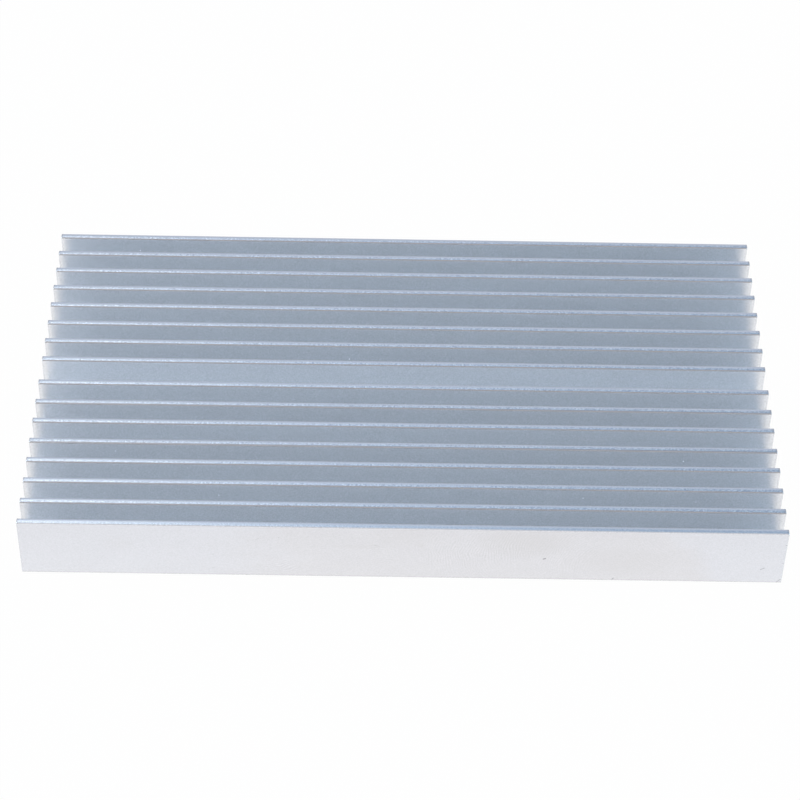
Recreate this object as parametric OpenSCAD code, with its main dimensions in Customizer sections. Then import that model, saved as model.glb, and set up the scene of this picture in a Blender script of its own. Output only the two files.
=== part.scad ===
// Extruded heat sink: a flat base plate with straight fins, one aluminium section cut to length.
// The mounting face lies on Z = 0, the fins run along X and stand up along +Z.
// The origin is the centre of the mounting face. All sizes are in millimetres.

/* [Bar] */
// Length of the cut bar, along its fins
bar_length = 160; // [40:1:400]
// Height of the section, from the mounting face to the fin tips
section_height = 15; // [10:0.5:40]
// Thickness of the base plate under the fins
base_thickness = 3; // [2:0.1:6]
// Radius of the two long edges of the mounting face
base_edge_radius = 0.4; // [0.1:0.05:1]

/* [Fins] */
// Number of fins on each side of the middle channel
fins_per_side = 8; // [2:1:12]
// Distance from one fin's centre to the next one's, on the same side
fin_pitch = 6; // [4:0.1:12]
// Distance between the centres of the two fins beside the middle channel
middle_pitch = 7.5; // [4:0.1:20]
// Thickness of a fin at its tip
tip_thickness = 1.5; // [1:0.05:2.5]
// Thickness of a fin where it meets the base plate
root_thickness = 1.8; // [1.5:0.05:2.5]
// Radius of the two long edges of a fin's tip
tip_radius = 0.2; // [0.1:0.05:0.5]
// Radius of the fillet between a fin and the base plate
root_radius = 0.5; // [0.2:0.05:0.7]

/* [Hidden] */
$fn = 64;

// How far a rounding arc reaches past the lines it rounds, so that they cross cleanly
arc_overlap = 0.0002;
// Height of a fin above the base plate
fin_height = section_height - base_thickness;
// Sideways lean of a fin's flank for each millimetre of its height
draft = (root_thickness - tip_thickness) / 2 / fin_height;
// Fin centres on one side, counted outwards from the middle of the section
fin_centres = [for (i = [0 : fins_per_side - 1]) middle_pitch / 2 + i * fin_pitch];
// The end fins' outer faces are the sides of the section
section_width = 2 * fin_centres[fins_per_side - 1] + tip_thickness;

// What an arc takes out of a corner, or fills it with. The corner is at the origin, between
// the +X direction and a flank that goes up +Y and leans back by lean for each millimetre.
module corner_wedge(radius, lean) {
    slant = sqrt(1 + lean * lean);
    centre = [radius * (slant - lean), radius];
    difference() {
        polygon([
            [-radius, -radius],
            [centre.x, -radius],
            centre,
            centre - 2 * radius / slant * [1, lean]
        ]);
        translate([centre.x - arc_overlap, centre.y - arc_overlap])
            circle(radius);
    }
}

// One side of a fin, from its centre line to its flank, with the tip's edge rounded
module half_fin(lean) {
    tip_corner = [tip_thickness / 2, section_height];
    difference() {
        polygon([[0, 0], [tip_corner.x + lean * section_height, 0], tip_corner, [0, tip_corner.y]]);
        translate(tip_corner)
            rotate(180)
                corner_wedge(tip_radius, lean);
    }
}

// A side of a fin that faces a channel: it has draft, and a fillet at its foot
module channel_flank() {
    half_fin(draft);
    translate([root_thickness / 2, base_thickness])
        corner_wedge(root_radius, draft);
}

// The fins on the +X side of the section; the last one's outer side is upright
module side_fins() {
    for (i = [0 : fins_per_side - 1])
        translate([fin_centres[i], 0]) {
            mirror([1, 0])
                channel_flank();
            if (i == fins_per_side - 1)
                half_fin(0);
            else
                channel_flank();
        }
}

// The die's opening: the outline that the whole bar shares
module section() {
    difference() {
        union() {
            translate([-section_width / 2, 0])
                square([section_width, base_thickness]);
            for (side = [0, 1])
                mirror([side, 0])
                    side_fins();
        }
        for (side = [0, 1])
            mirror([side, 0])
                translate([section_width / 2, 0])
                    mirror([1, 0])
                        corner_wedge(base_edge_radius, 0);
    }
}

module heat_sink() {
    color([0.77, 0.81, 0.86])
        rotate([90, 0, 90])
            linear_extrude(height = bar_length, center = true)
                section();
}

heat_sink();
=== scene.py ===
# %% [markdown]
# # An extruded heat sink
# A heat sink like this one is a single piece of aluminium. A billet is pushed hot through a
# steel die with a comb-shaped opening, so every cut across the bar shows the same outline:
# a base plate and a row of fins. The long bar is sawn into lengths, etched and clear
# anodised. The CAD model holds that form at its true size. Here the bar gets what a drawing
# leaves out: the softened saw cuts, the small lean of real fins, and the skin of the metal.

import math

import bpy
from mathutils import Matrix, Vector


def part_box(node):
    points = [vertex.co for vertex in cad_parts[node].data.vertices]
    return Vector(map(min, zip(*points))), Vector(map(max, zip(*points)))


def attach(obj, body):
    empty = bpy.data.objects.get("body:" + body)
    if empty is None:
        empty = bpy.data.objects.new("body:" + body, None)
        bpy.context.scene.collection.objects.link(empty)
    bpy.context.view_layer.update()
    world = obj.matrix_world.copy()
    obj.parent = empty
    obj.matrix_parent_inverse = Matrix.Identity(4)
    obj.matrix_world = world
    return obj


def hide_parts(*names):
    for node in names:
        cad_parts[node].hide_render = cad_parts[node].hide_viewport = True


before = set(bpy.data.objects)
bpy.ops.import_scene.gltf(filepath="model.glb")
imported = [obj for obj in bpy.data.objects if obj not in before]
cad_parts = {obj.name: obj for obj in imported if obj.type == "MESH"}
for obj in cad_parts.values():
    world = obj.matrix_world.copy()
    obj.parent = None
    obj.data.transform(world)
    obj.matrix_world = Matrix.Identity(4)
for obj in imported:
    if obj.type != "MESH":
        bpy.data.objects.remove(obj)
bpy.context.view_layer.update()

# %% [markdown]
# ## The camera
# The camera stands in front of the bar and looks down on it, so that the row of fin tips
# fills the picture. A long lens keeps the far fins nearly as wide as the near ones. The
# camera comes first because every later choice is judged through it.

# %% Place the camera
MM = 0.001

camera_data = bpy.data.cameras.new("camera")
camera_data.sensor_width = 36.0
camera_data.lens = 112.68
camera = bpy.data.objects.new("camera", camera_data)
camera.location = (-5.33 * MM, -402.21 * MM, 391.83 * MM)
camera.rotation_euler = [math.radians(angle) for angle in (46.288, -0.945, 0.253)]
bpy.context.scene.collection.objects.link(camera)
bpy.context.scene.camera = camera
print("camera height above the floor, mm:", round(camera.location.z / MM))

# %% [markdown]
# ## Writing node trees as sums
# Both the shape and the finish come from node trees. Built by hand, each small sum costs
# three lines of nodes and links, and the idea gets lost. So one class adds nodes, and
# another wraps an output socket and turns Python's own signs into Math nodes. `1 - mask` is
# then one node, and a formula reads as a formula. The same two classes serve Geometry Nodes,
# materials and the world, because a Math node is the same in all three.

# %% Two helpers for every node tree


class Wire:
    """An output socket. Signs between wires and numbers add Math nodes to its tree."""

    def __init__(self, graph, socket):
        self.graph = graph
        self.socket = socket

    def math(self, operation, *others):
        return self.graph.math(operation, self, *others)

    def __add__(self, other):
        return self.math("ADD", other)

    def __sub__(self, other):
        return self.math("SUBTRACT", other)

    def __rsub__(self, other):
        return self.graph.math("SUBTRACT", other, self)

    def __mul__(self, other):
        return self.math("MULTIPLY", other)

    def __truediv__(self, other):
        return self.math("DIVIDE", other)

    def __gt__(self, other):
        return self.math("GREATER_THAN", other)

    def __lt__(self, other):
        return self.math("LESS_THAN", other)

    def clamped(self):
        """Held between 0 and 1."""
        return self.math("MINIMUM", 1.0).math("MAXIMUM", 0.0)

    __radd__ = __add__
    __rmul__ = __mul__


class Graph:
    """Adds nodes to one tree: of a shape, a material or the world."""

    def __init__(self, tree):
        self.tree = tree
        tree.nodes.clear()

    def add(self, kind, inputs=(), output=0, **settings):
        node = self.tree.nodes.new(kind)
        for name, value in settings.items():
            if name == "stops":
                self.set_stops(node.color_ramp, value)
            else:
                setattr(node, name, value)
        for name, value in dict(inputs).items():
            self.feed(node.inputs[name], value)
        return Wire(self, node.outputs[output]) if len(node.outputs) else node

    def feed(self, socket, value):
        if isinstance(value, Wire):
            self.tree.links.new(value.socket, socket)
        else:
            socket.default_value = value

    def set_stops(self, ramp, stops):
        while len(ramp.elements) < len(stops):
            ramp.elements.new(1.0)
        for element, (place, colour) in zip(ramp.elements, stops):
            element.position = place
            element.color = (*colour, 1.0)

    def math(self, operation, *values):
        return self.add("ShaderNodeMath", dict(enumerate(values)), operation=operation)

    def vector(self, x=0.0, y=0.0, z=0.0):
        return self.add("ShaderNodeCombineXYZ", {"X": x, "Y": y, "Z": z})

    def split(self, vector):
        parts = self.add("ShaderNodeSeparateXYZ", {"Vector": vector}).socket.node
        return [Wire(self, socket) for socket in parts.outputs]


print("Wire and Graph are ready")

# %% [markdown]
# ## The section's sizes
# The overall length, width and height are read from the loaded part, so the dressed bar can't
# drift away from it. The die's other sizes are repeated here in millimetres. The middle
# channel is a little wider than the rest, and its pitch is what the others leave over.

# %% Sizes of the section
cad_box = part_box("heat_sink")
bar_length, section_width, section_height = cad_box[1] - cad_box[0]
ROUNDING_ROOM = 0.0001 * MM  # so that the dressed bar stays inside the solid's box
section_width -= ROUNDING_ROOM

FINS = 16
fin_pitch = 6.0 * MM
tip_thickness = 1.5 * MM
root_thickness = 1.8 * MM
base_thickness = 3.0 * MM
tip_radius = 0.2 * MM
root_radius = 0.5 * MM
base_edge_radius = 0.4 * MM
middle_pitch = section_width - tip_thickness - (FINS - 2) * fin_pitch
print("middle pitch, mm:", round(middle_pitch / MM, 3))

# %% [markdown]
# ## The outline, from four corners a fin
# The comb could be drawn point by point, or cut from a block with booleans. It follows a
# rule, though: each fin has four corners, a foot and a tip on either side. So Geometry Nodes
# number the points of a line, work out each point's fin and corner from its number, and
# move it there. Fillet Curve then rounds every corner with its own radius. The outer feet of
# the first and last fin are pulled down to the mounting face, which closes the base plate.

# %% Nodes for the comb outline
ARC_POINTS = 5


def store(graph, geometry, name, value, data_type="FLOAT"):
    """Keeps a value on the points, for a later step to read."""
    return graph.add(
        "GeometryNodeStoreNamedAttribute",
        {"Geometry": geometry, "Name": name, "Value": value},
        data_type=data_type,
        domain="POINT",
    )


def read(graph, name, data_type="FLOAT"):
    return graph.add("GeometryNodeInputNamedAttribute", {"Name": name}, data_type=data_type)


def comb_corners(graph, size):
    """The closed comb with sharp corners. Fins are counted from the back of the bar."""
    number = graph.add("GeometryNodeInputIndex")
    fin = (number / 4).math("FLOOR")
    corner = number - 4 * fin
    at_tip = (corner > 0.5) * (corner < 2.5)
    side = 1 - (corner > 1.5) * 2
    at_end = (number < 0.5) + (number > size["Fins"] * 4 - 1.5)
    at_foot = (1 - at_tip) * (1 - at_end)

    from_middle = (size["Fins"] - 1) / 2 - fin
    widening = (size["Middle Pitch"] - size["Fin Pitch"]) / 2
    centre = from_middle * size["Fin Pitch"] + from_middle.math("SIGN") * widening
    half = (size["Tip Thickness"] + at_foot * (size["Root Thickness"] - size["Tip Thickness"])) / 2
    height = at_tip * size["Section Height"] + at_foot * size["Base Thickness"]
    radius = (
        at_tip * size["Tip Radius"]
        + at_foot * size["Root Radius"]
        + at_end * size["Base Edge Radius"]
    )

    line = graph.add("GeometryNodeMeshLine", {"Count": size["Fins"] * 4})
    comb = graph.add("GeometryNodeMeshToCurve", {"Mesh": line})
    place = graph.vector(centre + side * half, height)
    comb = graph.add("GeometryNodeSetPosition", {"Geometry": comb, "Position": place})
    comb = graph.add("GeometryNodeSetSplineCyclic", {"Geometry": comb, "Cyclic": True})
    comb = store(graph, comb, "fin", fin)
    comb = store(graph, comb, "fin_centre", centre)
    return comb, radius


print("comb corners:", FINS * 4)

# %% [markdown]
# ## Rounding and dividing the outline
# The fillet leaves one long step from corner to corner. The bar has to bend a little later,
# and the fin tips get a slight crown, so the long steps are divided: finely across a tip,
# coarsely down a fin's side. Each point also keeps its outward direction, which a later step
# uses to draw the ends in.

# %% Nodes that round and divide the outline
SIDE_STEP = 0.8 * MM
TIP_STEP = 0.19 * MM
JUST_BELOW_TOP = 0.001 * MM


def cuts_to_next(graph, size, curve):
    """How many points fit between a point and the next one along the outline."""
    here = graph.add("GeometryNodeInputPosition")
    number = graph.add("GeometryNodeInputIndex")
    count = graph.add("GeometryNodeAttributeDomainSize", {"Geometry": curve}, component="CURVE")
    following = (number + 1).math("FLOORED_MODULO", count)
    ahead = graph.add(
        "GeometryNodeFieldAtIndex",
        {"Index": following, "Value": here},
        data_type="FLOAT_VECTOR",
        domain="POINT",
    )
    gap = graph.add("ShaderNodeVectorMath", {0: here, 1: ahead}, output="Value", operation="DISTANCE")
    top = size["Section Height"] - JUST_BELOW_TOP
    across_tip = (graph.split(here)[1] > top) * (graph.split(ahead)[1] > top)
    step = SIDE_STEP + across_tip * (TIP_STEP - SIDE_STEP)
    return (gap / step).math("FLOOR")


def comb_outline(graph, size):
    comb, radius = comb_corners(graph, size)
    comb = graph.add(
        "GeometryNodeFilletCurve",
        {"Curve": comb, "Radius": radius, "Count": ARC_POINTS, "Limit Radius": True},
        mode="POLY",
    )
    cuts = cuts_to_next(graph, size, comb)
    comb = graph.add("GeometryNodeSubdivideCurve", {"Curve": comb, "Cuts": cuts})
    along_outline = graph.add("GeometryNodeInputTangent")
    outward = graph.add(
        "ShaderNodeVectorMath",
        {0: along_outline, 1: (0.0, 0.0, 1.0)},
        operation="CROSS_PRODUCT",
    )
    return store(graph, comb, "outward", outward, "FLOAT_VECTOR")


print("steps in mm:", round(SIDE_STEP / MM, 2), "down a fin and", round(TIP_STEP / MM, 2), "over a tip")

# %% [markdown]
# ## The sweep and its softened ends
# Extrusion is a sweep of one outline along a straight line, and Curve to Mesh is exactly
# that. A saw leaves a sharp edge, and etching takes its keenness off. A Bevel modifier would
# round the long edges too, so the rounding is part of the sweep: the first and last few
# rings follow a quarter circle, and each of them is drawn in along the outline's own outward
# direction. One more ring stands close behind them. Without it the long faces would borrow
# the lean of the rounding, and shine falsely near the ends.

# %% Nodes for the sweep
RINGS = 51
ROUNDING_RINGS = 3


def sweep_rail(graph, size):
    """A line of ring places, crowded where the saw cuts are rounded."""
    radius = size["End Radius"]
    number = graph.add("GeometryNodeInputIndex")
    leaving = (number / ROUNDING_RINGS).clamped() * (math.pi / 2)
    arriving = ((RINGS - 1 - number) / ROUNDING_RINGS).clamped() * (math.pi / 2)
    past_first_guard = (number - ROUNDING_RINGS).clamped()
    past_last_guard = (number - (RINGS - 2 - ROUNDING_RINGS)).clamped()
    share = ((number - ROUNDING_RINGS - 1) / (RINGS - 3 - 2 * ROUNDING_RINGS)).clamped()
    straight = size["Bar Length"] - 4 * radius
    rounding = radius * (1 + arriving.math("COSINE") - leaving.math("COSINE"))
    place = share * straight + rounding - size["Bar Length"] / 2
    place = place + radius * (past_first_guard + past_last_guard)
    drawn_in = radius * (2 - leaving.math("SINE") - arriving.math("SINE"))
    line = graph.add("GeometryNodeMeshLine", {"Count": RINGS, "Offset": (0.0, 0.0, 1.0)})
    rail = graph.add("GeometryNodeMeshToCurve", {"Mesh": line})
    place = graph.vector(0.0, 0.0, place)
    rail = graph.add("GeometryNodeSetPosition", {"Geometry": rail, "Position": place})
    return store(graph, rail, "drawn_in", drawn_in)


print("sweep of", RINGS, "rings")

# %% [markdown]
# ## Laying the bar down, with the small faults of a real one
# The sweep stands upright, so one step lays it on its mounting face. The same step adds what
# a drawing leaves out. Fin tips are slightly crowned. Thin fins never stand quite true, so
# each leans and wanders by a few hundredths of a millimetre, and two of them have been
# knocked a little forwards. The outermost fins stay put, so the bar keeps its width.

# %% Nodes that lay the bar down
KNOCKED_FINS = {9: 0.16 * MM, 11: 0.16 * MM}


def fin_sway(graph, size, along, up):
    """How far a point moves across the bar, nothing at the foot and most at the tip."""
    fin = read(graph, "fin").math("ROUND")
    fin_height = size["Section Height"] - size["Base Thickness"]
    bend = ((up - size["Base Thickness"]) / fin_height).clamped().math("POWER", 1.5)
    inner = (fin > 0.5) * (fin < size["Fins"] - 1.5)
    lean = graph.add(
        "FunctionNodeRandomValue",
        {"Min": -1.0, "Max": 1.0, "ID": fin, "Seed": size["Seed"]},
        output="Value",
        data_type="FLOAT",
    )
    wander = graph.add(
        "ShaderNodeTexNoise",
        {"W": along * 22.0 + fin * 7.3, "Scale": 1.0, "Detail": 1.0},
        noise_dimensions="1D",
    )
    sway = (lean + (wander - 0.5) * 2.0) * size["Fin Lean"]
    for knocked, distance in KNOCKED_FINS.items():
        sway = sway - graph.math("COMPARE", fin, float(knocked), 0.1) * distance
    return sway * bend * inner


def laid_down(graph, size, bar):
    across, up, along = graph.split(graph.add("GeometryNodeInputPosition"))
    out_across, out_up, _ = graph.split(read(graph, "outward", "FLOAT_VECTOR"))
    worn = graph.add("ShaderNodeTexNoise", {"Scale": 1400.0, "Detail": 2.0})
    drawn_in = read(graph, "drawn_in") * (0.4 + worn * 1.2)
    off_centre = (across - read(graph, "fin_centre")) / (size["Tip Thickness"] / 2)
    near_tip = ((up - size["Section Height"]) / MM + 1.0).clamped()
    crown = near_tip * off_centre * off_centre * size["Tip Crown"]
    place = graph.vector(
        along,
        across - drawn_in * out_across + fin_sway(graph, size, along, up),
        up - drawn_in * out_up - crown,
    )
    return graph.add("GeometryNodeSetPosition", {"Geometry": bar, "Position": place})


print("knocked fins:", sorted(KNOCKED_FINS))

# %% [markdown]
# ## One tree, one plain mesh
# The tree's inputs carry the sizes, so the same tree can be given another die's sizes.
# Their values are set by the sockets' identifiers before the object is first evaluated. The
# way a face looks out decides its finish: the upright sides, the flats and hollows, the
# rubbed fin tips, the outer side that is handled, and the saw cuts square to the length.
# Weighted Normal then keeps the broad sides flat up to their small rounded edges. The
# evaluated result becomes a plain mesh, and the modifiers go with the object that had them.

# %% Build the bar
BODY = "root"
SIZES = {
    "Bar Length": ("NodeSocketFloat", bar_length),
    "Section Height": ("NodeSocketFloat", section_height),
    "Base Thickness": ("NodeSocketFloat", base_thickness),
    "Fins": ("NodeSocketInt", FINS),
    "Fin Pitch": ("NodeSocketFloat", fin_pitch),
    "Middle Pitch": ("NodeSocketFloat", middle_pitch),
    "Tip Thickness": ("NodeSocketFloat", tip_thickness),
    "Root Thickness": ("NodeSocketFloat", root_thickness),
    "Tip Radius": ("NodeSocketFloat", tip_radius),
    "Tip Crown": ("NodeSocketFloat", 0.04 * MM),
    "Root Radius": ("NodeSocketFloat", root_radius),
    "Base Edge Radius": ("NodeSocketFloat", base_edge_radius),
    "End Radius": ("NodeSocketFloat", 0.1 * MM),
    "Fin Lean": ("NodeSocketFloat", 0.04 * MM),
    "Half Width": ("NodeSocketFloat", section_width / 2),
    "Seed": ("NodeSocketInt", 4),
}
FINISHES = ["Drawn Flat", "Drawn Side", "Handled Side", "Rubbed Tip", "Saw Cut"]
UPRIGHT = 0.995  # of a face's direction that points across, to count as an upright side
SQUARE_CUT = 0.999  # of a face's direction that points along, to count as a saw cut
OUTERMOST = -0.999  # of the half width, to count as the front fin's outer side
for finish in FINISHES:
    material = bpy.data.materials.new(finish.lower().replace(" ", "_"))
    material.use_nodes = True
    SIZES[finish] = ("NodeSocketMaterial", material)


def finished(graph, size, bar):
    """Gives every face its finish. A later finish covers an earlier one."""
    facing = graph.split(graph.add("GeometryNodeInputNormal"))
    _, across, up = graph.split(graph.add("GeometryNodeInputPosition"))
    upright = facing[1].math("ABSOLUTE") > UPRIGHT
    parts = {
        "Drawn Flat": 1.0,
        "Drawn Side": upright,
        "Handled Side": upright * (across < size["Half Width"] * OUTERMOST),
        "Rubbed Tip": (up > size["Section Height"] - size["Tip Radius"]) * (1 - upright),
        "Saw Cut": facing[0].math("ABSOLUTE") > SQUARE_CUT,
    }
    for finish, chosen in parts.items():
        inputs = {"Geometry": bar, "Selection": chosen > 0.5, "Material": size[finish]}
        bar = graph.add("GeometryNodeSetMaterial", inputs)
    return bar


def bar_tree():
    tree = bpy.data.node_groups.new("extruded_bar", "GeometryNodeTree")
    for name, (kind, _) in SIZES.items():
        tree.interface.new_socket(name=name, in_out="INPUT", socket_type=kind)
    tree.interface.new_socket(name="Bar", in_out="OUTPUT", socket_type="NodeSocketGeometry")
    graph = Graph(tree)
    entry = graph.add("NodeGroupInput").socket.node
    size = {name: Wire(graph, entry.outputs[name]) for name in SIZES}

    rail = sweep_rail(graph, size)
    outline = comb_outline(graph, size)
    sweep = {"Curve": rail, "Profile Curve": outline, "Fill Caps": True}
    bar = graph.add("GeometryNodeCurveToMesh", sweep)
    bar = laid_down(graph, size, bar)
    facing_along, _, _ = graph.split(graph.add("GeometryNodeInputNormal"))
    is_cut = facing_along.math("ABSOLUTE") > SQUARE_CUT
    bar = graph.add("GeometryNodeSetShadeSmooth", {"Geometry": bar, "Shade Smooth": True})
    flat = {"Geometry": bar, "Selection": is_cut, "Shade Smooth": False}
    bar = graph.add("GeometryNodeSetShadeSmooth", flat)
    bar = graph.add("GeometryNodeRealizeInstances", {"Geometry": bar})
    graph.add("NodeGroupOutput", {"Bar": finished(graph, size, bar)})
    return tree


def grown_from(tree, name, values):
    """An object whose mesh is what the tree makes of these values, with no modifier left."""
    grower = bpy.data.objects.new(name + "_grower", bpy.data.meshes.new(name + "_start"))
    bpy.context.scene.collection.objects.link(grower)
    grow = grower.modifiers.new("grow", "NODES")
    grow.node_group = tree
    sockets = {s.name: s.identifier for s in tree.interface.items_tree if s.in_out == "INPUT"}
    for label, value in values.items():
        grow[sockets[label]] = value
    flats_first = grower.modifiers.new("flats_first", "WEIGHTED_NORMAL")
    flats_first.weight = 100
    evaluated = grower.evaluated_get(bpy.context.evaluated_depsgraph_get())
    mesh = bpy.data.meshes.new_from_object(evaluated)
    mesh.name = name
    piece = bpy.data.objects.new(name, mesh)
    bpy.context.scene.collection.objects.link(piece)
    bpy.data.objects.remove(grower)
    return piece


bar = grown_from(bar_tree(), "finned_bar", {name: value for name, (_, value) in SIZES.items()})
for helper in ("fin", "fin_centre", "outward", "drawn_in"):
    bar.data.attributes.remove(bar.data.attributes[helper])
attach(bar, BODY)
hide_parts("heat_sink")
print("finned_bar has", len(bar.data.vertices), "vertices and", len(bar.data.polygons), "faces")

# %% [markdown]
# ## Light that metal can reflect
# Bare metal has almost no colour of its own: it shows the room. So the room is made before
# the metal. The world is a dim, plain studio, made of three ramps. One runs from the horizon
# to straight overhead. One runs from left to right, and colours a cool window behind the
# bar. The third keeps the window to the height that the flat fin tips reflect, so it shows
# on them alone.

# %% Room
WHITE = (1.0, 1.0, 1.0, 1.0)


def tint(red, green, blue):
    return (red, green, blue, 1.0)


def mixed(graph, factor, first, second):
    """A colour between two colours."""
    return graph.add(
        "ShaderNodeMix",
        {0: factor, 6: first, 7: second},
        output=2,
        data_type="RGBA",
        clamp_factor=True,
    )


def ramp(graph, factor, stops):
    return graph.add("ShaderNodeValToRGB", {0: factor}, stops=stops)


HORIZON_TO_ZENITH = [
    (0.0, (0.75, 0.76, 0.80)),
    (0.2, (0.46, 0.49, 0.58)),
    (0.46, (0.48, 0.54, 0.66)),
    (0.68, (0.44, 0.46, 0.52)),
    (1.0, (0.45, 0.46, 0.50)),
]
WINDOW_HEIGHT = [
    (0.47, (0.0, 0.0, 0.0)),
    (0.495, (1.0, 1.0, 1.0)),
    (0.6, (1.0, 1.0, 1.0)),
    (0.66, (0.0, 0.0, 0.0)),
]
WINDOW_LEFT_TO_RIGHT = [
    (0.1, (1.18, 1.30, 1.45)),
    (0.18, (0.92, 1.06, 1.22)),
    (0.27, (0.61, 0.73, 0.92)),
    (0.53, (0.49, 0.61, 0.80)),
    (0.88, (0.29, 0.39, 0.54)),
]
WINDOW_REACH = 0.15  # how far the window goes to either side, as a sine of the angle
SIDES_START = 0.25
SIDES_BLEND = 0.5
IN_FRONT = tint(0.652, 0.642, 0.667)
SIDES = tint(0.40, 0.47, 0.56)


def room_world():
    world = bpy.data.worlds.new("studio_room")
    world.use_nodes = True
    graph = Graph(world.node_tree)
    towards = graph.add("ShaderNodeTexCoord", output="Generated")
    right, back, up = graph.split(towards)
    height = up.math("ARCSINE") / (math.pi / 2)
    share = (right + WINDOW_REACH) / (2 * WINDOW_REACH)
    window = ramp(graph, share, WINDOW_LEFT_TO_RIGHT)
    behind = ramp(graph, height, HORIZON_TO_ZENITH)
    behind = mixed(graph, ramp(graph, height, WINDOW_HEIGHT), behind, window)
    sky = mixed(graph, back * 2 + 0.5, IN_FRONT, behind)
    sideways = (right.math("ABSOLUTE") - SIDES_START) / SIDES_BLEND
    sky = mixed(graph, sideways, sky, SIDES)
    seen = graph.add("ShaderNodeLightPath", output="Is Camera Ray")
    shown = mixed(graph, seen, sky, WHITE)
    background = graph.add("ShaderNodeBackground", {"Color": shown, "Strength": 1.0})
    graph.add("ShaderNodeOutputWorld", {"Surface": background})
    return world


bpy.context.scene.world = room_world()
bpy.context.scene.view_settings.view_transform = "Standard"
print("room ready")

# %% [markdown]
# ## Two soft boxes
# One large soft box hangs to the left and one to the right, both turned to the bar. They
# are area lights, because a wide light gives metal broad, calm reflections. They stay out
# of the plane that the flat fin tips mirror towards the camera, so the tips keep showing
# the window. They are wider than tall and hang high, so that a low look along the channels
# finds the plain room mirrored in their floors, and not a lamp. The left one hangs nearer,
# and its light falls off along the bar.

# %% Soft boxes
BOX_WIDTH = 1.1
BOX_HEIGHT = 0.65


def soft_box(name, azimuth, elevation, distance, brightness, light_tint):
    """A wide soft box facing the bar. Azimuth 0 is behind the bar, 90 to the right."""
    lamp = bpy.data.lights.new(name, "AREA")
    lamp.shape = "RECTANGLE"
    lamp.size = distance * BOX_WIDTH
    lamp.size_y = distance * BOX_HEIGHT
    lamp.color = light_tint
    lamp.energy = brightness * math.pi * distance * distance
    box = bpy.data.objects.new(name, lamp)
    box.visible_camera = False
    turn, lift = math.radians(azimuth), math.radians(elevation)
    flat = math.cos(lift)
    direction = Vector((math.sin(turn) * flat, math.cos(turn) * flat, math.sin(lift)))
    box.location = direction * distance
    box.rotation_euler = direction.to_track_quat("Z", "Y").to_euler()
    bpy.context.scene.collection.objects.link(box)
    print(name, "hangs", round(box.location.z, 2), "m above the table")


soft_box("left_soft_box", -88, 46, 0.65, 3.2, (0.67, 0.83, 0.955))
soft_box("right_soft_box", 88, 46, 1.6, 2.28, (0.465, 0.80, 1.04))

# %% [markdown]
# ## Light that goes to and fro between the fins
# A look into a channel meets half a dozen reflections before it gets out again. Cycles ends
# such a path after four glossy bounces, which would leave the channels too dark, so the
# limit goes up.

# %% More glossy bounces
bpy.context.scene.cycles.glossy_bounces = 12
print("glossy bounces:", bpy.context.scene.cycles.glossy_bounces)

# %% [markdown]
# ## The table
# A plain white table top. The camera and mirror-like rays see it as clean white paper, and
# other rays see a matte surface, so the part's soft shadow still darkens it a little. From
# below it is clear, so the mounting face can be looked at too.

# %% Table top
TABLE_HALF_SIZE = 20.0
TABLE_GAP = 0.02 * MM
PAPER_SHARE = 0.99
TABLE_GREY = 0.3


def table_material():
    material = bpy.data.materials.new("white_table")
    material.use_nodes = True
    graph = Graph(material.node_tree)
    matte = graph.add("ShaderNodeBsdfDiffuse", {"Color": tint(TABLE_GREY, TABLE_GREY, TABLE_GREY)})
    paper = graph.add("ShaderNodeEmission", {"Color": WHITE, "Strength": 1.0})
    rays = graph.add("ShaderNodeLightPath").socket.node
    kinds = ["Is Camera Ray", "Is Glossy Ray", "Is Transmission Ray"]
    seen, mirrored, passed = [Wire(graph, rays.outputs[kind]) for kind in kinds]
    shown = (seen + mirrored + passed).clamped() * PAPER_SHARE
    surface = graph.add("ShaderNodeMixShader", {0: shown, 1: matte, 2: paper})
    from_below = graph.add("ShaderNodeNewGeometry", output="Backfacing")
    clear = graph.add("ShaderNodeBsdfTransparent")
    surface = graph.add("ShaderNodeMixShader", {0: from_below, 1: surface, 2: clear})
    graph.add("ShaderNodeOutputMaterial", {"Surface": surface})
    return material


table_mesh = bpy.data.meshes.new("table_top")
corners = [(-1, -1), (1, -1), (1, 1), (-1, 1)]
places = [(x * TABLE_HALF_SIZE, y * TABLE_HALF_SIZE, -TABLE_GAP) for x, y in corners]
table_mesh.from_pydata(places, [], [(0, 1, 2, 3)])
table_mesh.materials.append(table_material())
table = bpy.data.objects.new("table_top", table_mesh)
bpy.context.scene.collection.objects.link(table)
print("table top:", 2 * TABLE_HALF_SIZE, "m square")

# %% [markdown]
# ## What every finish is made of
# All five finishes vary slowly or finely over the metal, and all of them end in the same
# shader. So the noise, the bump and that last step are written once. Every pattern is
# measured in millimetres from the middle of the bar, which keeps it fixed to the metal when
# the part is moved, and makes its size easy to judge against the real thing.

# %% Helpers for finishes


def scaled(graph, vector, amount):
    return graph.add("ShaderNodeVectorMath", {0: vector, "Scale": amount}, operation="SCALE")


def stretched(graph, vector, amounts):
    return graph.add("ShaderNodeVectorMath", {0: vector, 1: amounts}, operation="MULTIPLY")


def noise(graph, place, scale, detail=2.0, roughness=0.5):
    """Noise on a turned grid, since it fades on flat faces that lie along its own grid."""
    turn = {"Vector": place, "Axis": (1.0, 1.0, 1.0), "Angle": 0.6}
    turned = graph.add("ShaderNodeVectorRotate", turn, rotation_type="AXIS_ANGLE")
    return graph.add(
        "ShaderNodeTexNoise",
        {"Vector": turned, "Scale": scale, "Detail": detail, "Roughness": roughness},
    )


def centred_noise(graph, place, scale, detail=2.0, roughness=0.5):
    """Noise that swings around zero, roughly from -1 to 1."""
    return (noise(graph, place, scale, detail, roughness) - 0.5) * 3.0


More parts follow.
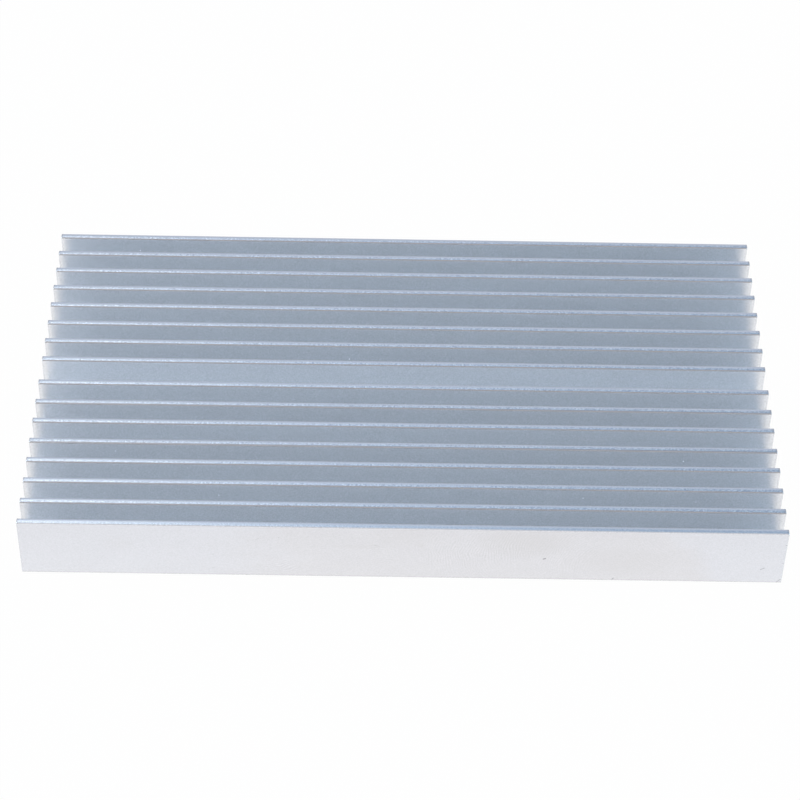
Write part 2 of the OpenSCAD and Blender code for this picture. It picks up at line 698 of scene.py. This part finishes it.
def new_finish(name):
    """The material's graph, and the place on the bar in millimetres."""
    graph = Graph(bpy.data.materials[name].node_tree)
    place = scaled(graph, graph.add("ShaderNodeTexCoord", output="Object"), 1 / MM)
    return graph, place


def bumped(graph, relief):
    """A relief of this many steps of 0.004 mm."""
    inputs = {"Height": relief, "Strength": 1.0, "Distance": 0.004 * MM}
    return graph.add("ShaderNodeBump", inputs)


def finish_with(graph, **inputs):
    """Ends a material in one Principled shader. Inputs use their sockets' names."""
    named = {name.replace("_", " "): value for name, value in inputs.items()}
    surface = graph.add("ShaderNodeBsdfPrincipled", named)
    graph.add("ShaderNodeOutputMaterial", {"Surface": surface})


print("finish helpers ready")

# %% [markdown]
# ## The drawn skin
# The die leaves fine lines along the bar. They blur a reflection up and down but keep it
# sharp sideways, which is why the open ends show as crisp pale stripes on the fins. The
# shader's own Anisotropic value does the same without any texture, on the flat sides only,
# because on a small rounding it would smear. Etching and anodising leave a thin clear oxide
# that scatters some light, so the skin isn't quite all metal: a Metallic value a little
# under one gives that soft share. Clean aluminium is a nearly neutral pale grey, and the
# channels turn darker by themselves, because the light in them is reflected again and
# again. The rest is wear and painted light: a fine grain, a rubbed band near the tips, painted
# light that makes the wider middle channel lighter, a painted shade line along the bar's two
# lower edges where it meets the table, and a few specks of dust, which Voronoi cells scatter
# one by one.

# %% Drawn sides and flats
CLEAN_METAL = tint(0.875, 0.868, 0.878)
DUST = tint(0.98, 0.98, 0.98)
SOFT_SHARE = 0.28
SPECK_RADIUS = 0.12
CELLS_PER_MM = 0.16
RUBBED_ABOVE = 14.3
# height in mm below which the painted shade line at the bar's foot lies
FOOT_SHADE_BELOW = 0.5


def dust_specks(graph, place):
    """1 inside a speck of dust, one speck to each cell of about 6 mm, else 0."""
    inputs = {"Vector": place, "Scale": CELLS_PER_MM}
    to_speck = graph.add("ShaderNodeTexVoronoi", inputs, feature="F1")
    return ((SPECK_RADIUS * CELLS_PER_MM - to_speck) * 200).clamped()


def drawn_finish(name, **glint):
    graph, place = new_finish(name)
    die_lines = centred_noise(graph, stretched(graph, place, (0.02, 7.0, 7.0)), 1.0, 1.0)
    grain = centred_noise(graph, place, 3.7, 0.0)
    _, across, up = graph.split(place)
    # Painted light: the wider middle channel is painted a little lighter, as more light gets into it.
    painted_middle_light = (across.math("ABSOLUTE") < middle_pitch / MM / 2) * 0.018
    rubbed_top = ((up - RUBBED_ABOVE) / 0.5).clamped()
    # Painted shade: a dark line along the bar's lower edges, where it meets the table.
    painted_foot_shade = ((FOOT_SHADE_BELOW - up) / 0.2).clamped() * (up / 0.05).clamped()
    # worn holds real wear and grain, plus the painted light and painted shade above.
    worn = 1.0 + painted_middle_light + rubbed_top * 0.06 - painted_foot_shade * 0.18
    worn = worn + grain * 0.14 + die_lines * 0.01
    metal = scaled(graph, CLEAN_METAL[:3], worn)
    dust = dust_specks(graph, place)
    finish_with(
        graph,
        Base_Color=mixed(graph, dust, metal, DUST),
        Metallic=(1 - dust) * (1 - SOFT_SHARE),
        Roughness=0.17 + grain * 0.01,
        Normal=bumped(graph, die_lines * 0.3),
        **glint,
    )


ALONG_THE_BAR = {"Anisotropic": 1.0, "Anisotropic_Rotation": 0.25}
drawn_finish("drawn_side", **ALONG_THE_BAR)
drawn_finish("drawn_flat")
print("drawn sides and flats ready")

# %% [markdown]
# ## The side that is handled
# The outer side of the front fin is the face that gets touched and knocked. Fingers leave
# their ridges on bright metal: rows about half a millimetre apart that curl around a
# whorl. A wave of the distance from the whorl draws such rows, and a soft oval keeps them
# inside one mark. Wider soft ovals make the brownish smudges.

# %% Marks of fingers
RIDGE_STEP = 0.56
# each: the oval's middle along and up, its reach along and up, the whorl's place along and
# up, and how strong the mark is
FINGER_MARKS = [
    (12.0, 8.0, 11.0, 9.0, 25.0, 7.3, 1.0),
    (22.0, 10.5, 7.5, 6.5, 34.0, 8.5, 1.3),
    (34.5, 9.0, 9.0, 9.0, 47.0, 2.0, 0.9),
    (-6.0, 8.0, 8.0, 8.0, -3.0, -1.0, 0.5),
    (-25.0, 3.2, 5.0, 2.8, -30.0, 22.0, 1.3),
    (52.0, 8.0, 8.0, 8.0, 60.0, 16.0, 0.5),
]
# each: the oval's middle along and up, its reach along and up, and how strong it is
SMUDGES = [
    (0.0, 13.5, 8.0, 5.0, 0.55),
    (25.5, 12.0, 11.0, 6.0, 1.0),
    (46.0, 6.0, 13.0, 5.0, 0.7),
    (-9.0, 9.4, 6.0, 0.8, 0.6),
    (3.8, 10.0, 1.0, 0.7, 0.8),
    (-59.5, 9.5, 4.0, 2.5, 0.4),
]


def soft_oval(along, up, middle_x, middle_z, reach_x, reach_z):
    """1 in the middle of an oval, fading to 0 at its rim, all in millimetres."""
    off_x = (along - middle_x) / reach_x
    off_z = (up - middle_z) / reach_z
    return (1 - off_x * off_x - off_z * off_z).clamped()


def ridges(along, up, waver, middle_x, middle_z, reach_x, reach_z, whorl_x, whorl_z, depth):
    off_x = along - whorl_x
    off_z = up - whorl_z
    distance = (off_x * off_x + off_z * off_z).math("SQRT") + waver
    wave = (distance * (2 * math.pi / RIDGE_STEP)).math("SINE")
    return wave * soft_oval(along, up, middle_x, middle_z, reach_x, reach_z) * depth


def finger_marks(graph, place, along, up):
    """Swings around zero where fingers have left their ridges."""
    waver = centred_noise(graph, place, 0.35, 1.0) * 0.5
    broken = (centred_noise(graph, place, 0.9, 1.0) + 0.7).clamped()
    total = ridges(along, up, waver, *FINGER_MARKS[0])
    for mark in FINGER_MARKS[1:]:
        total = total + ridges(along, up, waver, *mark)
    return total * broken


def smudges(along, up):
    total = 0.0
    for *oval, depth in SMUDGES:
        total = soft_oval(along, up, *oval) * depth + total
    return total.clamped()


print("finger marks:", len(FINGER_MARKS), "smudges:", len(SMUDGES))

# %% [markdown]
# ## Scratches and dints
# Each is a short line from one place to another. The distance of a point to such a line
# is a short sum, so no texture is needed.

# %% Scratches and dints
# each: the start along and up, the end along and up, the width, and how dark it is
SCRATCHES = [
    (75.15, 4.15, 75.95, 4.65, 0.1, 1.6),
    (78.7, 0.15, 79.7, 1.2, 0.09, 1.4),
    (71.2, 10.1, 71.4, 10.2, 0.13, 0.6),
    (44.1, 0.3, 44.5, 0.9, 0.13, 1.5),
    (64.2, 0.1, 64.4, 0.3, 0.14, 1.0),
    (29.5, 6.45, 29.85, 6.6, 0.21, 2.2),
    (-30.6, 11.1, -30.0, 11.5, 0.09, 0.6),
    (-25.9, 11.8, -25.8, 11.9, 0.13, 0.6),
    (-40.2, 6.5, -39.5, 6.4, 0.09, 0.5),
    (-40.0, 2.2, -39.0, 2.6, 0.06, 0.5),
    (-5.9, 9.9, -4.9, 9.6, 0.06, 0.9),
    (79.6, 11.7, 79.9, 11.7, 0.1, 1.3),
    (79.6, 6.2, 79.9, 6.2, 0.1, 1.0),
]


def near_line(along, up, start_x, start_z, end_x, end_z, width):
    """1 on the line from start to end, fading to 0 at the width, all in millimetres."""
    run, rise = end_x - start_x, end_z - start_z
    squared = run * run + rise * rise
    share = (((along - start_x) * run + (up - start_z) * rise) / squared).clamped()
    off_x = along - start_x - share * run
    off_z = up - start_z - share * rise
    distance = (off_x * off_x + off_z * off_z).math("SQRT")
    return (1 - distance / width).clamped()


def scratched(along, up):
    total = 0.0
    for *line, depth in SCRATCHES:
        total = near_line(along, up, *line) * depth + total
    return total.clamped()


print("scratches:", len(SCRATCHES))

# %% [markdown]
# ## The handled side put together
# The marks are laid over the metal in the order in which they came about: first the skin,
# cleaner towards both ends and painted a little lighter towards its foot and darker towards
# its top, a painted reflection of the white table in front, then ridges and smudges, and the
# scratches on top. The finger marks change the colour and leave the relief alone, because
# grease lies on the metal and doesn't cut it. A scratch does cut it, so it also gets a shallow
# groove. It isn't made rougher, because a rough line would catch the soft boxes and shine
# instead of looking dark.

# %% Handled side
HANDLED_METAL = tint(0.900, 0.878, 0.888)
CLEANER_METAL = tint(0.913, 0.906, 0.935)
SMUDGE_TONE = tint(0.78, 0.75, 0.73)
SCRATCH_TONE = tint(0.38, 0.37, 0.38)
CLEANER_TO_THE_RIGHT = 62.0
CLEANER_TO_THE_LEFT = 22.0
HALF_HEIGHT = 7.5


def handled_side():
    graph, place = new_finish("handled_side")
    along, _, up = graph.split(place)
    grain = centred_noise(graph, place, 3.4, 1.0)
    blotches = centred_noise(graph, stretched(graph, place, (0.1, 0.25, 0.25)), 1.0, 3.0, 0.6)
    clean_right = ((along + up * 0.5 - CLEANER_TO_THE_RIGHT + blotches * 4.0) / 6.0).clamped()
    clean_left = ((blotches * 8.0 - CLEANER_TO_THE_LEFT - along) / 18.0).clamped() * 0.8
    marks = finger_marks(graph, place, along, up) * 0.06
    scratch = scratched(along, up)

    metal = mixed(graph, clean_right + clean_left, HANDLED_METAL, CLEANER_METAL)
    # Painted reflection: lighter towards the foot of the face and darker towards its top, for the white
    # table it mirrors.
    low = (HALF_HEIGHT - up) * 0.003
    metal = scaled(graph, metal, 1.0 + low + blotches * 0.015 + grain * 0.08 + marks)
    metal = mixed(graph, smudges(along, up) * 0.3, metal, SMUDGE_TONE)
    metal = mixed(graph, scratch * 0.9, metal, SCRATCH_TONE)
    finish_with(
        graph,
        Base_Color=metal,
        Metallic=1 - SOFT_SHARE,
        Roughness=0.2 + grain * 0.01,
        Normal=bumped(graph, grain * 0.2 - scratch * 0.1),
        **ALONG_THE_BAR,
    )


handled_side()
print("handled side ready")

# %% [markdown]
# ## Sixteen tips, one material
# Wear on a fin tip depends on where a point lies across that fin. Sixteen materials could
# say so, or a painted map. A point's distance from the middle of its own fin follows from
# the pitch, though, so a short sum finds it, and one material serves all sixteen fins.

# %% Where a point lies across its fin


def across_fin(across):
    """Millimetres from the middle of the nearest fin: the front edge is negative."""
    half_middle = middle_pitch / MM / 2
    pitch = fin_pitch / MM
    out = across.math("ABSOLUTE") - half_middle
    nearest = (out / pitch).math("ROUND")
    return across.math("SIGN") * (out - nearest * pitch)


print("fin measure ready")

# %% [markdown]
# ## The fin tips
# The tips are what a hand or a box rubs against. They are shinier than the skin and flecked
# with tiny dints on the side towards the front. That front edge is a little rougher and gets a
# painted brownish line, a painted dark reflection of its rounded corner, and the skin towards
# the back edge gets painted shade. The front fin stands a little proud of the wear: it has no
# painted edge line and is polished smooth at its edge. The last half millimetre before each saw
# cut is dull again, where the edge was softened.

# %% Rubbed tips
RUBBED_METAL = tint(0.98, 0.98, 0.98)
DINT_TONE = tint(0.64, 0.65, 0.69)
EDGE_TONE = tint(0.60, 0.57, 0.56)
SAWN_BEYOND = 79.5
# how far from a tip's middle, towards the front, the painted edge line begins, in mm
EDGE_LINE_BEYOND = 0.45
POLISHED_BEYOND = 0.3


def rubbed_tip():
    graph, place = new_finish("rubbed_tip")
    along, across, _ = graph.split(place)
    from_middle = across_fin(across)
    dints = centred_noise(graph, stretched(graph, place, (0.8, 1.0, 1.0)), 3.2, 2.0, 0.6)
    ragged = centred_noise(graph, stretched(graph, place, (0.9, 0.2, 0.2)), 4.0)
    grain = centred_noise(graph, place, 3.4, 0.0)
    flecked = ((0.15 - from_middle) / 0.2).clamped()
    front_fin = (4.0 - across - section_width / MM / 2).clamped()
    # Painted reflection: a brownish dark line along each tip's rounded front edge.
    painted_edge_line = ((-EDGE_LINE_BEYOND - from_middle + ragged * 0.14) / 0.1).clamped() * (1 - front_fin)
    polished = ((-POLISHED_BEYOND - from_middle) / 0.3).clamped() * front_fin
    strength = 1.1 - front_fin * 0.7
    rubbed = mixed(graph, 0.5 + dints * strength + polished * 0.35, DINT_TONE, RUBBED_METAL)
    # Painted shade: the skin is darker towards each tip's rounded back edge.
    painted_back_shade = ((from_middle - 0.1) / 0.4).clamped()
    sawn_end = ((along.math("ABSOLUTE") - SAWN_BEYOND) / 0.3).clamped()
    skin = scaled(graph, CLEAN_METAL[:3], 1.0 + grain * 0.03 - painted_back_shade * 0.06)
    metal = mixed(graph, flecked, skin, rubbed)
    metal = mixed(graph, (painted_edge_line + sawn_end * 0.6).clamped(), metal, EDGE_TONE)
    finish_with(
        graph,
        Base_Color=metal,
        Metallic=0.92,
        Roughness=0.15 + painted_edge_line * 0.1,
        Normal=bumped(graph, dints * flecked * 2.0),
    )


rubbed_tip()
print("rubbed tips ready")

# %% [markdown]
# ## The saw cuts
# The ends are cut with a large round blade, which leaves shallow arcs. Their centre lies far
# outside the part, so a wave of the distance from that centre draws them. Etching has dulled
# the marks, so they are faint.

# %% Saw cut
BLADE_RADIUS = 180.0
BLADE_STEP = 0.55
BLADE_DOWN = 0.8
BLADE_ASIDE = 0.6


def saw_cut():
    graph, place = new_finish("saw_cut")
    _, across, up = graph.split(place)
    wobble = noise(graph, place, 0.35, 2.0)
    drop = up + BLADE_RADIUS * BLADE_DOWN
    reach = across + BLADE_RADIUS * BLADE_ASIDE
    distance = (drop * drop + reach * reach).math("SQRT") + wobble * 0.5
    arcs = (distance * (2 * math.pi / BLADE_STEP)).math("SINE")
    grain = centred_noise(graph, place, 5.0)
    finish_with(
        graph,
        Base_Color=scaled(graph, CLEAN_METAL[:3], 0.97 + grain * 0.015 + arcs * 0.01),
        Metallic=0.8,
        Roughness=0.34 + grain * 0.02,
        Normal=bumped(graph, arcs * (0.4 + wobble) + grain * 0.6),
    )


saw_cut()
print("saw cut ready")
